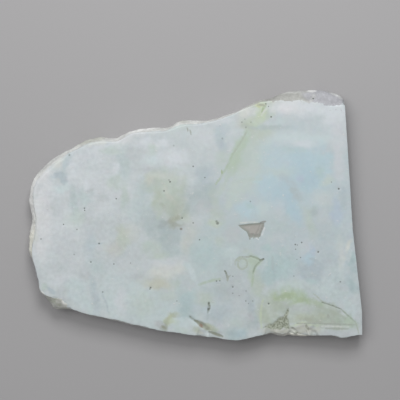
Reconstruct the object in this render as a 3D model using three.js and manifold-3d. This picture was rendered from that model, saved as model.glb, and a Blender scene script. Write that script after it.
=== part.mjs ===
// A sawn slab of larimar, the blue pectolite rock: one flat piece of stone lying on its sawn back.
// The face and the back are sawn flat and parallel. One end is trimmed straight by a saw in two passes.
// The rest of the rim is the broken outside of the rock: it leans, bulges and is chipped.
// A small grey crystal shows in the face, worn a little below it.
//
// Millimetres, +Z up. The origin is the middle of the slab's box on the surface that it lies on.
// +X points to the trimmed end, and +Y to the side with the broad sloping shoulder.
import * as THREE from "three";
import { ImprovedNoise } from "three/addons/math/ImprovedNoise.js";
import { mergeVertices } from "three/addons/utils/BufferGeometryUtils.js";
import Module from "manifold-3d";

// Driving dimensions
const THICKNESS = 6; // between the sawn face and the sawn back
const BULGE_HEIGHT = 0.62 * THICKNESS; // where the broken rim stands out furthest
const UNDERCUT = 0.9; // how far the back's edge lies inside the rim's bulge
const ROUGHNESS = 0.55; // deepest hollow of the broken rim, besides its outlines
const ROUNDNESS = 1.2; // how quickly a narrow rind falls away from the face: a power of the height
const LEDGE = 0.6; // how much that power grows with each millimetre of the rind's width
const LUMP = 4.5; // length of the rim's larger lumps
const STEP = 0.75; // spacing of the sections round the rim
const LEVELS = [0, 0.8, 1.8, 2.8, 3.7, 4.5, 5.3, THICKNESS]; // heights of the rings that make the rim
const CRYSTAL_DEPTH = 0.15; // how far the grey crystal is worn below the face

// The trimmed end: its corners, the point where the two saw passes meet, and a dressed stretch by the tip.
const shoulderCorner = [38.3, 28.9];
const trimMiddle = [40.6, -3.4];
const dressedTip = [43.2, -24.8];
const pointedCorner = [43.3, -30.8];
const trimmedEnd = [pointedCorner, dressedTip, trimMiddle, shoulderCorner];

// The rim's bulge as seen from above, counter-clockwise from the shoulder's corner to the pointed one.
const shoulder = [
  [38.15, 30.3], [36.7, 31.5], [34.1, 32.3], [30.9, 32.7], [26.9, 32.5], [23.1, 32.1], [21.2, 31.4],
];
const longSide = [
  [19.1, 30.5], [16.5, 30], [14.5, 29.1], [12.7, 28.2], [10.7, 27.1], [8.1, 26.3], [5.6, 25.5],
  [3.4, 24.9], [1, 24.8], [-1.6, 24.9], [-3.5, 24.9], [-5.1, 24.3], [-6.8, 23.2], [-8, 23], [-9.9, 23.1],
  [-13.3, 22.8], [-15.8, 22.4], [-17.8, 21.7], [-19.7, 20.7], [-20.7, 20.2], [-22.7, 20.4],
  [-24.8, 20.6], [-26.7, 20.2], [-28.5, 19.7], [-30.2, 18.7], [-32.4, 17.5],
];
const roundEnd = [
  [-34.8, 16.3], [-37.5, 14.5], [-39.7, 12.5], [-41.5, 10.4], [-42.6, 8.3], [-43, 6.1], [-43.3, 4.2],
  [-43, 2.2], [-42.4, -0.8], [-43, -3.4], [-43.4, -6.9], [-43.5, -8.8], [-42.9, -10.8], [-42.1, -13],
  [-41.7, -15], [-41.2, -17.4], [-40.7, -19.7],
];
const nearSide = [
  [-39.7, -20.7], [-38.9, -21.8], [-37.9, -23], [-36.8, -24.2], [-35.8, -24.5], [-34.9, -24.4],
  [-33.4, -24.4], [-32.1, -24.6], [-30.4, -25.1],
  [-27.7, -26], [-25, -26.6], [-21.1, -27.4], [-17.3, -28.4], [-13.4, -29.2], [-9.4, -30.1],
  [-5.5, -30.5], [-0.3, -31.3], [3.6, -31.9], [7.5, -32.3], [10.1, -32.6], [12.1, -32.5], [14.7, -31.9],
  [18, -31.3], [19.8, -30.8], [21.1, -31.2], [22.8, -31.5], [24.4, -31.1], [25.8, -31.5], [28.4, -31.6],
  [30.9, -31.3], [34.1, -31.1], [36, -31.5], [38.5, -32], [41, -31.5], [42.4, -31.2],
];
const rim = [...shoulder, ...longSide, ...roundEnd, ...nearSide];

// The edge of the sawn face, the same way round. It lies inside the rim by the width of the rind.
const faceEdge = [
  [37.6, 28.8], [35, 28.8], [33.4, 29], [32.4, 29.5], [31, 29.7], [28.8, 29.8], [27.2, 30.1],
  [23.6, 30.2], [20.5, 30.1], [16.4, 29.5], [12.6, 27.9], [8, 25.9], [5.4, 25], [1, 24], [-3.2, 23.7],
  [-6.6, 22.5], [-10, 22], [-15.7, 21.7], [-17.8, 20.9], [-20.5, 19.5], [-25, 19.4], [-28.2, 18.6],
  [-31.8, 16.9], [-34, 15.4], [-37, 13], [-39.3, 10.9], [-40.9, 8.8], [-41.8, 6.4], [-41.7, 3],
  [-41.2, -1], [-41.4, -4.5], [-42.3, -8], [-42.3, -10.6], [-41.5, -13.4], [-40.8, -16.8], [-40.3, -19.2],
  [-38.6, -20.6], [-36.6, -21.2], [-35.4, -21.5], [-34.3, -22.1], [-33.5, -22.9], [-32.7, -23.7],
  [-31.8, -24.2], [-29.5, -25], [-25, -26.1],
  [-22.2, -26.6], [-19.1, -27.3], [-16.2, -28.1], [-13.4, -28.7], [-10.7, -29.4], [-8, -29.9],
  [-5.3, -30.2], [-2.7, -30.7], [0, -31], [2.7, -31.3], [5.5, -31.7], [8.5, -32.1], [11.5, -32.2],
  [14.6, -31.5], [17.5, -30.8], [20.3, -30.2], [23.1, -30.6], [25.2, -30.2], [28.3, -30.9], [31, -31],
  [35.6, -31], [38.4, -31.6], [42, -30.9],
];

// The grey crystal's outline in the face: a straight edge, a slanting one and a ragged side.
const crystal = [
  [17.8, -1.4], [17.3, -2.9], [16.6, -5.4], [16, -5.2], [15.5, -5.6], [15, -5.1], [14.4, -5.5],
  [13.7, -5.2], [13.2, -3.9], [12, -3.1], [10.8, -2.1], [13.9, -1.7],
];

const points = (outline) => outline.map(([x, y]) => new THREE.Vector2(x, y));

// A closed outline as a dense polygon: the broken part is one smooth curve, and the trimmed end is straight.
function closedOutline(brokenPoints) {
  const curve = new THREE.SplineCurve(points([shoulderCorner, ...brokenPoints, pointedCorner]));
  return [...curve.getPoints(8 * brokenPoints.length), ...points(trimmedEnd).slice(1, -1)];
}

// How far the outline is from the origin in the direction of an angle. Each outline crosses a ray once.
function reach(outline, angle) {
  const [dx, dy] = [Math.cos(angle), Math.sin(angle)];
  for (let i = 0; i < outline.length; i++) {
    const [a, b] = [outline[i], outline[(i + 1) % outline.length]];
    const [sideA, sideB] = [dx * a.y - dy * a.x, dx * b.y - dy * b.x];
    const share = sideA / (sideA - sideB);
    if (sideA * sideB > 0 || !Number.isFinite(share)) continue;
    const distance = dx * (a.x + share * (b.x - a.x)) + dy * (a.y + share * (b.y - a.y));
    if (distance > 0) return distance;
  }
  throw new Error("the outline has a gap at " + angle);
}

// The angles of the sections: every corner of the trimmed end, and equal steps along each stretch between.
function sectionAngles() {
  const curve = new THREE.SplineCurve(points([shoulderCorner, ...rim, pointedCorner]));
  const count = Math.round(curve.getLength() / STEP);
  const broken = curve.getSpacedPoints(count);
  const trimmed = trimmedEnd.slice(0, -1).flatMap((from, i) => {
    const [a, b] = points([from, trimmedEnd[i + 1]]);
    const steps = Math.round(a.distanceTo(b) / (4 * STEP));
    return Array.from({ length: steps }, (_, k) => a.clone().lerp(b, k / steps));
  });
  return [...broken.slice(0, -1), ...trimmed].map((p) => Math.atan2(p.y, p.x));
}

// 1 on the broken rim and 0 on the trimmed end, changing over a few degrees outside its corners.
function brokenShare(angle) {
  const from = Math.atan2(shoulderCorner[1], shoulderCorner[0]);
  const to = Math.atan2(pointedCorner[1], pointedCorner[0]);
  const outside = Math.max(angle - from, to - angle);
  return THREE.MathUtils.smoothstep(outside, 0, 0.09);
}

const perlin = new ImprovedNoise();
const lumps = (x, y, z, size) => perlin.noise(x / size, y / size, z / size);

const widest = closedOutline(rim);
const face = closedOutline(faceEdge);

// A point of the rim at an angle and a height: out to the bulge, and in to the face above and the back below.
// A narrow rind falls away evenly, and a wide one is a ledge: flat by the face and steep at its outer side.
function rimPoint(angle, height) {
  const bulge = reach(widest, angle);
  const broken = brokenShare(angle);
  const up = Math.max(0, (height - BULGE_HEIGHT) / (THICKNESS - BULGE_HEIGHT));
  const down = Math.max(0, 1 - height / BULGE_HEIGHT);
  const rind = bulge - reach(face, angle);
  const toFace = rind * up ** (ROUNDNESS + LEDGE * rind);
  const toBack = UNDERCUT * broken * down ** 2;
  const [x, y] = [bulge * Math.cos(angle), bulge * Math.sin(angle)];
  const hollow = 0.5 + lumps(x, y, 2 * height, LUMP) + 0.5 * lumps(x, y, 2 * height + 40, LUMP / 3);
  const away = Math.sin(Math.PI * up) + Math.sin(Math.PI * down) + 0.3 * down;
  const distance = bulge - toFace - toBack - ROUGHNESS * broken * away * THREE.MathUtils.clamp(hollow, 0, 1);
  return [distance * Math.cos(angle), distance * Math.sin(angle), height];
}

// The slab before the crystal is sunk: rings of the rim joined by quads, closed by the flat back and face.
function slabGeometry() {
  const angles = sectionAngles();
  const count = angles.length;
  const rings = LEVELS.map((height) => angles.map((angle) => rimPoint(angle, height)));
  const index = [];
  for (let level = 0; level < LEVELS.length - 1; level++)
    for (let i = 0; i < count; i++) {
      const [a, b] = [level * count + i, level * count + ((i + 1) % count)];
      index.push(a, b, b + count, a, b + count, a + count);
    }
  const top = (LEVELS.length - 1) * count;
  const lid = (ring) => THREE.ShapeUtils.triangulateShape(points(ring), []);
  for (const [a, b, c] of lid(rings[0])) index.push(a, c, b);
  for (const [a, b, c] of lid(rings.at(-1))) index.push(top + a, top + b, top + c);
  const geometry = new THREE.BufferGeometry();
  geometry.setAttribute("position", new THREE.Float32BufferAttribute(rings.flat(2), 3));
  return geometry.setIndex(index);
}

// The space above the worn crystal: its outline, standing from its floor to just over the face.
function crystalSpace() {
  const shape = new THREE.Shape(points(crystal));
  const space = new THREE.ExtrudeGeometry(shape, { depth: 2 * CRYSTAL_DEPTH, bevelEnabled: false });
  return space.translate(0, 0, THICKNESS - CRYSTAL_DEPTH);
}

const wasm = await Module();
wasm.setup();

// A closed geometry as a solid for the boolean cut, with the vertices that faces share merged.
function solidOf(geometry) {
  const bare = geometry.clone();
  bare.deleteAttribute("normal");
  bare.deleteAttribute("uv");
  const merged = mergeVertices(bare, 1e-4);
  const [vertProperties, triVerts] = [merged.attributes.position.array, new Uint32Array(merged.index.array)];
  return new wasm.Manifold(new wasm.Mesh({ numProp: 3, vertProperties, triVerts }));
}

function geometryOf(solid) {
  const mesh = solid.getMesh();
  const geometry = new THREE.BufferGeometry();
  geometry.setAttribute("position", new THREE.BufferAttribute(mesh.vertProperties, 3));
  geometry.setIndex(new THREE.BufferAttribute(mesh.triVerts, 1));
  geometry.computeVertexNormals();
  return geometry;
}

// Moves the slab so that the origin is the middle of its box, at the height of its back.
function centred(geometry) {
  geometry.computeBoundingBox();
  const { min, max } = geometry.boundingBox;
  return geometry.translate(-(min.x + max.x) / 2, -(min.y + max.y) / 2, -min.z);
}

const stone = new THREE.MeshStandardMaterial({ color: 0xb9c4c6, roughness: 0.5, metalness: 0 });
const sawn = solidOf(slabGeometry()).subtract(solidOf(crystalSpace()));
const slab = new THREE.Mesh(centred(geometryOf(sawn)), stone);
slab.name = "larimar_slab";

const part = new THREE.Group();
part.add(slab);

export default part;
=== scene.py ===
"""A sawn slab of larimar, lying on its sawn back on a pale floor.

The stone is one closed mesh: the sawn face, the rim with its broken side and trimmed end, and the
sawn back. Its outline at every height is the frame's own section there. What the sections don't
hold is added here: the broken hollows of the rim, the nicks in the face's edge, and the chips,
cracks and pits of the face.

Shapes are worked out in millimetres and put into the mesh in metres. A place on the face is given
in per cent of the face's width and depth, from its lowest corner.
"""
import math

import bpy
import numpy as np
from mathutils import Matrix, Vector


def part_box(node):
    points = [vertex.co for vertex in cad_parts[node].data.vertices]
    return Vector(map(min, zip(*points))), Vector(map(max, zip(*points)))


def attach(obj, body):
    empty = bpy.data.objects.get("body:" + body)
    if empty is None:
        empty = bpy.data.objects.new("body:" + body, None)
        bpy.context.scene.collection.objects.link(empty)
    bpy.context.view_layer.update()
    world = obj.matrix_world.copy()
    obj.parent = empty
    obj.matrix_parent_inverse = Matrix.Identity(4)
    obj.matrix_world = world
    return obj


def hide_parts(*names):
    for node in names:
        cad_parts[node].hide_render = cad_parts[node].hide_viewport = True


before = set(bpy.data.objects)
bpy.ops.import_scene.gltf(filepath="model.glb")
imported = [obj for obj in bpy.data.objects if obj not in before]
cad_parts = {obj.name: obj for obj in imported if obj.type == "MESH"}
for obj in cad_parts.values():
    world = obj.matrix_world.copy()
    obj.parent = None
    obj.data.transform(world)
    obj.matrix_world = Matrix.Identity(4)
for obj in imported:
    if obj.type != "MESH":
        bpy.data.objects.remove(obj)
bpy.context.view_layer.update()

MM = 0.001  # metres in a millimetre
low, high = (np.array(corner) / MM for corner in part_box("larimar_slab"))
SIZE = high - low  # the slab's width, depth and thickness
FACE = high[2]  # height of the sawn face

FACE_CELLS = 240  # cells along each side of the face's grid
BACK_CELLS = FACE_CELLS // 2  # the same for the back, which is plainer
COLUMNS = 4 * FACE_CELLS  # columns of the rim, one for each point on the edge of the face's grid
ROWS = 23  # rows of the rim, closer together near the face
HEART = 0.6  # share of the half depth that no part of the rim comes inside
HAIR = 0.01  # how far inside the slab's box its sections are cut and its moved points are kept

INSETS = (0.4, 0.1)  # how far inside the box the face's edge is at the rounded and trimmed ends
FACE_LOW = low[:2] + (INSETS[0], 0)  # the lowest corner of the sawn face
FACE_SIZE = SIZE[:2] - (sum(INSETS), 0)  # the width and depth of the sawn face
EDGE_WEAR = 0.05  # how far the face's edge is worn down
CHIP_DEPTH = 0.7  # the deepest that a chip goes
PIT_BRIM = 0.15  # how far a pit's bowl runs on past its radius
PIT_DEPTH = 0.12  # the depth of a pit in its middle
CRYSTAL_DEPTH = 0.15  # how far the floor of the worn crystal lies below the face
CRYSTAL_CUT = 0.1  # how far below the face the crystal's outline is taken

MEAN_HOLLOW = 0.28  # the mean depth of the rim's broken hollows
CORNER_FADE = 0.05  # radians past each corner over which the broken side begins
LEAST_DROP = 0.03  # how far each row of the rim is at least below the row above it


def at(across, along):
    """A place on the face in millimetres: its lowest corner + its size x the per cents."""
    return FACE_LOW + FACE_SIZE * (across, along) / 100


# The corners between the broken outside of the rock and the trimmed end, at the far and near sides
SHOULDER_CORNER = at(94.8, 94.2)
POINTED_CORNER = at(100, 2.9)

# Where the crust reaches up to the face, in millimetres. On the shoulder it sets in between two
# places along the width. Round the broken ledge, at the near corner of the rounded end, it ends at
# one distance from the ledge's middle and is whole within the other.
SHOULDER_START = (17, 20)
LEDGE = at(7.6, 17)
LEDGE_REACH = (4.4, 3.2)

# The outline of the rough patch in the face, where grains have fallen out
ROUGH_PATCH = np.array([
    at(78, 14), at(78.1, 5.2), at(74, 4.6), at(70.4, 5.8), at(72.6, 7.4), at(74.2, 8.9),
    at(75.9, 10.3),
])

# Chips broken out of the face's edge: place, direction in degrees, half width and steepness
CHIPS = [
    (at(72.6, 5.4), -100, 1.3, 0.30),
    (at(76.2, 5.0), -75, 1.5, 0.25),
    (at(79.3, 5.6), -110, 1.0, 0.45),
    (at(81.6, 6.2), -80, 1.5, 0.28),
    (at(84.4, 5.9), -60, 1.0, 0.4),
    (at(56.3, 4.6), -95, 1.7, 0.2),
    (at(52.2, 5.3), -100, 1.2, 0.25),
    (at(8.0, 18.0), -110, 0.8, 0.3),
    (at(11.0, 15.6), -120, 0.9, 0.3),
]

# Cracks and scratches of the face as arcs: start, end, bulge, half width and depth
CRACKS = [
    (at(48.4, 9.9), at(50.6, 7.6), -0.15, 0.5, 0.22),
    (at(50.4, 7.8), at(52.4, 6.2), 0.05, 0.7, 0.25),
    (at(53.9, 15.7), at(53.8, 11.9), 0.1, 0.35, 0.16),
    (at(58.8, 28.2), at(59.6, 25.3), 0.08, 0.3, 0.12),
    (at(79.1, 5.3), at(80.8, 3.2), 0.05, 0.4, 0.3),
    (at(83.3, 6.5), at(84.3, 4.6), -0.1, 0.35, 0.25),
    (at(88.0, 15.8), at(93.8, 13.0), 0.12, 0.28, 0.08),
    (at(93.8, 13.0), at(98.0, 8.0), -0.05, 0.26, 0.08),
    (at(66.3, 34.3), at(69.6, 32.6), 0.15, 0.3, 0.08),
    (at(69.8, 32.5), at(67.2, 27.2), -0.5, 0.3, 0.08),
]

# Pits of the face: place, radius
PITS = [
    (at(56.5, 47.4), 0.4),
    (at(45.9, 49.5), 0.28),
    (at(92.7, 61.1), 0.3),
    (at(86.7, 36.0), 0.3),
    (at(18.5, 32.0), 0.26),
    (at(61.1, 22.0), 0.26),
    (at(71.9, 15.3), 0.3),
    (at(36.4, 21.7), 0.3),
    (at(16.7, 53.2), 0.28),
]


# Noise


def chance(cells, salt):
    """A number from 0 to 1 for each cell of a lattice, the same in every run.

    The cell's three whole numbers are each multiplied by a large prime and added, the sum is
    folded on itself twice, and its lowest 16 bits are the number.
    """
    mixed = (cells * np.array([73856093, 19349663, 83492791])).sum(-1) + 374761393 * salt
    mixed = ((mixed ^ (mixed >> 13)) * 1274126177) & 0xFFFFFFFF
    return ((mixed ^ (mixed >> 15)) & 0xFFFF) / 0xFFFF


def lumps(points, size, salt=0):
    """Smooth lumps from -1 to 1: chance at cubes' corners, blended across each by 3t2 - 2t3."""
    scaled = points / size
    cells = np.floor(scaled).astype(np.int64)
    blend = scaled - cells
    blend = blend * blend * (3 - 2 * blend)
    total = 0
    for corner in np.ndindex(2, 2, 2):
        share = np.where(corner, blend, 1 - blend).prod(-1)
        total = total + share * chance(cells + corner, salt)
    return 2 * total - 1


def grain(points, size, layers, salt=0):
    """Lumps on lumps: every layer is half as wide and half as high as the one before it."""
    return sum(lumps(points, size / 2**k, salt + k) / 2**k for k in range(layers))


def hollows(points, size, salt=0):
    """Shell-shaped hollows with sharp ridges between them, from 1 in a middle to 0 on a ridge.

    Each cube holds one seed at a random place, and the height is 1 minus the square of the
    distance to the nearest seed, in cubes.
    """
    scaled = points / size
    cells = np.floor(scaled).astype(np.int64)
    nearest = np.ones(scaled.shape[:-1])
    for step in np.ndindex(3, 3, 3):
        home = cells + step - 1
        seed = home + np.stack([chance(home, salt + axis) for axis in range(3)], -1)
        nearest = np.minimum(nearest, ((scaled - seed) ** 2).sum(-1))
    return 1 - nearest


def rise(value, start, end):
    """0 before start, 1 after end and 3t2 - 2t3 between them."""
    t = np.clip((value - start) / (end - start), 0, 1)
    return t * t * (3 - 2 * t)


# The frame's sections


def triangles_of(piece):
    """The triangles of a mesh as an array of triangle, corner and coordinate, in millimetres."""
    mesh = piece.data
    mesh.calc_loop_triangles()
    points = np.empty(3 * len(mesh.vertices))
    corners = np.empty(3 * len(mesh.loop_triangles), np.int32)
    mesh.vertices.foreach_get("co", points)
    mesh.loop_triangles.foreach_get("vertices", corners)
    return points.reshape(-1, 3)[corners].reshape(-1, 3, 3) / MM


def crossings(triangles, height):
    """Where the triangles' rising edges cross a height.

    That is start + (end - start) x the share of the edge's rise that is below the height.
    """
    ends = np.roll(triangles, -1, axis=1)
    rising = (triangles[..., 2] < height) & (ends[..., 2] >= height)
    start, end = triangles[rising], ends[rising]
    share = (height - start[:, 2]) / (end[:, 2] - start[:, 2])
    return (start + share[:, None] * (end - start))[:, :2]


def reach_at(triangles, height, angles):
    """How far the slab reaches from its middle at a height, in the direction of each angle."""
    found = crossings(triangles, height)
    found = found[np.hypot(*found.T) > HEART * SIZE[1] / 2]
    around = np.arctan2(found[:, 1], found[:, 0])
    order = np.argsort(around)
    return np.interp(angles, around[order], np.hypot(*found.T)[order], period=2 * np.pi)


def crystal_outline(triangles):
    """The worn crystal's outline, in order round it: the section inside the rim, below the face."""
    found = crossings(triangles, FACE - CRYSTAL_CUT)
    found = found[np.hypot(*found.T) < HEART * SIZE[1] / 2]
    spokes = found - found.mean(0)
    return found[np.argsort(np.arctan2(spokes[:, 1], spokes[:, 0]))]


def column_angles(triangles):
    """The directions of the rim's columns, the same length of rim between each two of them."""
    around = np.linspace(0, 2 * np.pi, 20 * COLUMNS)
    reach = reach_at(triangles, FACE / 2, around)
    points = np.stack([reach * np.cos(around), reach * np.sin(around)])
    length = np.concatenate([[0], np.cumsum(np.hypot(*np.diff(points)))])
    return np.interp(np.arange(COLUMNS) / COLUMNS, length / length[-1], around)


# Directions and distances on the face


def directions(angle):
    """Two unit vectors: (cos, sin) in the direction of an angle, and (-sin, cos) to its left."""
    ahead, aside = math.cos(angle), math.sin(angle)
    return np.array([ahead, aside]), np.array([-aside, ahead])


def arc(start, end, bulge):
    """A circle's arc as (centre, turn, radius, half angle), from its ends and bulge to their left.

    The radius is (half chord squared + bulge squared) / (2 x bulge), the half angle is twice the
    angle whose tangent is bulge / half chord, and turn is the direction from the centre to the
    arc's middle.
    """
    chord = (end - start) / 2
    half = np.hypot(*chord)
    left = np.array([-chord[1], chord[0]]) / half * np.sign(bulge)
    radius = (half**2 + bulge**2) / (2 * abs(bulge))
    centre = start + chord + left * (abs(bulge) - radius)
    return centre, math.atan2(left[1], left[0]), radius, 2 * math.atan2(abs(bulge), half)


def distance_to_arc(points, centre, turn, radius, half_angle):
    """The distance from each point to the nearest point of an arc, whose ends are round."""
    away = points - centre
    angle = (np.arctan2(away[..., 1], away[..., 0]) - turn + np.pi) % (2 * np.pi) - np.pi
    angle = turn + np.clip(angle, -half_angle, half_angle)
    return np.hypot(away[..., 0] - radius * np.cos(angle), away[..., 1] - radius * np.sin(angle))


def nearest_on(points, outline):
    """The nearest point of a closed outline to each point: the best of its edges' nearest ones."""
    run = np.roll(outline, -1, 0) - outline
    away = points[:, None] - outline
    share = np.clip((away * run).sum(-1) / (run**2).sum(-1), 0, 1)
    found = outline + share[..., None] * run
    best = np.hypot(*np.moveaxis(points[:, None] - found, -1, 0)).argmin(1)
    return found[np.arange(len(points)), best]


def inside(points, outline):
    """Whether each point is inside a closed outline.

    It is if a ray from it towards +x crosses an odd number of the outline's edges.
    """
    start, end = outline, np.roll(outline, -1, 0)
    x, y = points[:, None, 0], points[:, None, 1]
    spans = (start[:, 1] > y) != (end[:, 1] > y)
    with np.errstate(divide="ignore", invalid="ignore"):
        share = (y - start[:, 1]) / (end[:, 1] - start[:, 1])
        crossing = start[:, 0] + share * (end[:, 0] - start[:, 0])
    return (spans & (x < crossing)).sum(1) % 2 == 1


def depth_in(points, outline):
    """How far inside a closed outline each point is, in millimetres, and below 0 outside it."""
    distance = np.hypot(*(points - nearest_on(points, outline)).T)
    return np.where(inside(points, outline), distance, -distance)


# The stone's surface


def on_plane(places):
    """Flat places as points in space, at height 0."""
    return np.column_stack([places, np.zeros(len(places))])


def chipped_away(points, flat):
    """How far the chips cut down the face at each point.

    A chip is a slope away from its place, cut off at its two sides and at its deepest.
    """
    broken = np.zeros(len(points))
    for place, direction, half, steepness in CHIPS:
        forward, left = directions(math.radians(direction))
        ahead = (points - place) @ forward
        aside = abs((points - place) @ left)
        ahead = ahead + 0.25 * lumps(flat, 0.9, 13)
        side = 1.2 * (half - aside + 0.2 * lumps(flat, 0.8, 14))
        chip = np.minimum(steepness * ahead, side)
        broken = np.maximum(broken, np.clip(chip, 0, CHIP_DEPTH))
    return broken


def face_relief(points, crystal):
    """How far the face lies below the sawn plane: (all, the broken part, rough share, crystal).

    The sawn plane waves by a few hundredths. A crack is a trough with the section
    1 - (distance / half width)2, and a pit is a bowl with the same section. The worn crystal has a
    flat floor, and the rough patch is covered with small hollows. The last two of what is given
    are the share of the rough patch at each point and how far inside the crystal it is.
    """
    flat = on_plane(points)
    sawn = 0.012 * (1 + lumps(flat, 6, 11)) + 0.005 * (1 + lumps(flat, 1.3, 12))
    patch = rise(depth_in(points, ROUGH_PATCH) + 0.35 * lumps(flat, 1, 15), -0.1, 0.35)
    granular = 0.10 + 0.14 * hollows(flat, 0.9, 16) + 0.06 * lumps(flat, 0.45, 17)
    broken = np.maximum(chipped_away(points, flat), patch * granular)
    cut = np.zeros(len(points))
    for start, end, bulge, half_width, depth in CRACKS:
        across = distance_to_arc(points, *arc(start, end, bulge)) / half_width
        cut = np.maximum(cut, depth * np.clip(1 - across**2, 0, 1))
    for place, radius in PITS:
        across = np.hypot(*(points - place).T) / (radius + PIT_BRIM)
        cut = np.maximum(cut, PIT_DEPTH * np.clip(1 - across**2, 0, 1))
    worn = depth_in(points, crystal)
    floor = CRYSTAL_DEPTH - 0.03 * (1 + lumps(flat, 0.8, 18))
    cut = np.where(worn > 1e-6, floor, cut)
    return sawn + broken + cut, broken, patch, worn


def broken_share(angles):
    """1 on the broken side of the rim and 0 on the trimmed end, rising just past its corners."""
    start = math.atan2(*SHOULDER_CORNER[::-1])
    end = math.atan2(*POINTED_CORNER[::-1])
    past = np.minimum((angles - start) % (2 * np.pi), (end - angles) % (2 * np.pi))
    outside = (angles - start) % (2 * np.pi) < (end - start) % (2 * np.pi)
    return np.where(outside, rise(past, 0, CORNER_FADE), 0)


def rim_surface(triangles):
    """The rim's points by row and column, how deep each is in a hollow, each column's broken share.

    A row is the frame's section at its height, and the rows are at 1 - t^1.15 of the thickness.
    Every point of the broken side then moves, square to the surface, by hollows of three sizes
    less their mean, and stays in the slab's box. The first row is the face's edge and stays level:
    it moves in by nicks alone. The trimmed end only wanders by a few hundredths.
    """
    angles = column_angles(triangles)
    shares = 1 - np.linspace(0, 1, ROWS) ** 1.15
    heights = np.clip(shares * FACE, HAIR, FACE - HAIR)
    reach = np.array([reach_at(triangles, height, angles) for height in heights])
    level = np.tile(shares[:, None] * FACE, COLUMNS)
    points = np.stack([reach * np.cos(angles), reach * np.sin(angles), level], -1)
    along = np.roll(points, -1, 1) - np.roll(points, 1, 1)
    down = np.gradient(points, axis=0)
    outwards = np.cross(down, along)
    outwards /= np.linalg.norm(outwards, axis=-1, keepdims=True)
    sideways = outwards[[0, -1]] * (1, 1, 0)
    outwards[[0, -1]] = sideways / np.linalg.norm(sideways, axis=-1, keepdims=True)
    broken = broken_share(angles)
    hollow = 0.22 * hollows(points, 2.6, 21) + 0.12 * hollows(points, 1.1, 31)
    depth = hollow + 0.05 * (1 + grain(points, 0.8, 2, 41)) - MEAN_HOLLOW
    nicks = 0.12 * rise(hollows(points, 2.1, 51), 0.6, 1) + 0.08 * (hollows(points, 0.8, 61) - 0.4)
    fading = rise(np.arange(ROWS), 0, 4)[:, None]
    depth = nicks + fading * (depth - nicks)
    wander = 0.02 * (1 + lumps(points * (1, 1, 4), 3, 71))
    moved = broken * depth + (1 - broken) * wander
    points = np.clip(points - outwards * moved[..., None], low + HAIR, high - (HAIR, HAIR, 0))
    return points, (depth + MEAN_HOLLOW) * broken, broken


def ring_grid(cells):
    """A square grid as (out, turn): how far out each node is, from 0 to 1, and its turn.

    Out is the larger of |x| and |y|, and turn runs evenly round each square ring, from 0 to 1,
    from the +x side.
    """
    line = np.linspace(-1, 1, cells + 1)
    x, y = np.meshgrid(line, line)
    with np.errstate(divide="ignore", invalid="ignore"):
        turn_x = np.where(x >= 0, 0, 0.5) + y / x / 8
        turn_y = np.where(y >= 0, 0.25, 0.75) - x / y / 8
    turn = np.where(abs(x) >= abs(y), turn_x, turn_y)
    return np.maximum(abs(x), abs(y)).ravel(), np.nan_to_num(turn).ravel() % 1


def spread(edge, out, turn):
    """Points inside a closed edge: out x the edge's point at that turn."""
    along = np.arange(len(edge)) / len(edge)
    ways = [np.interp(turn, along, edge[:, axis], period=1) for axis in range(2)]
    return np.stack([out * way for way in ways], -1)


def grid_quads(cells):
    """The quads of a square grid, facing up."""
    ids = np.arange((cells + 1) ** 2).reshape(cells + 1, cells + 1)
    return np.stack([ids[:-1, :-1], ids[:-1, 1:], ids[1:, 1:], ids[1:, :-1]], -1).reshape(-1, 4)


def edge_of(out, turn):
    """The nodes on the outer ring of a ring grid, in order of turn."""
    ring = np.flatnonzero(out > 1 - 1e-9)
    return ring[np.argsort(turn[ring])]


def crust_shares(rim, broken, out, turn):
    """The share of crust at each point: (of the face's grid, of the rim's rows below the first).

    The crust sets in over the first rows below the face. Where it is wide, at the shoulder and the
    ledge, it sets in two rows higher and lies thinly on the face's last two rings too.
    """
    shoulder = rise(rim[0, :, 0], *SHOULDER_START) * (rim[0, :, 1] > 0)
    ledge = rise(np.hypot(*(rim[0, :, :2] - LEDGE).T), *LEDGE_REACH)
    wide = np.maximum(shoulder, ledge)
    row = np.arange(1, ROWS)[:, None]
    rind = (broken * rise(row, 1 - 2 * wide, 4 - 2 * wide)).ravel()
    beside = np.interp(turn, np.arange(COLUMNS) / COLUMNS, broken * wide, period=1)
    return 0.35 * beside * rise(out, 1 - 4 / FACE_CELLS, 1), rind


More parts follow.
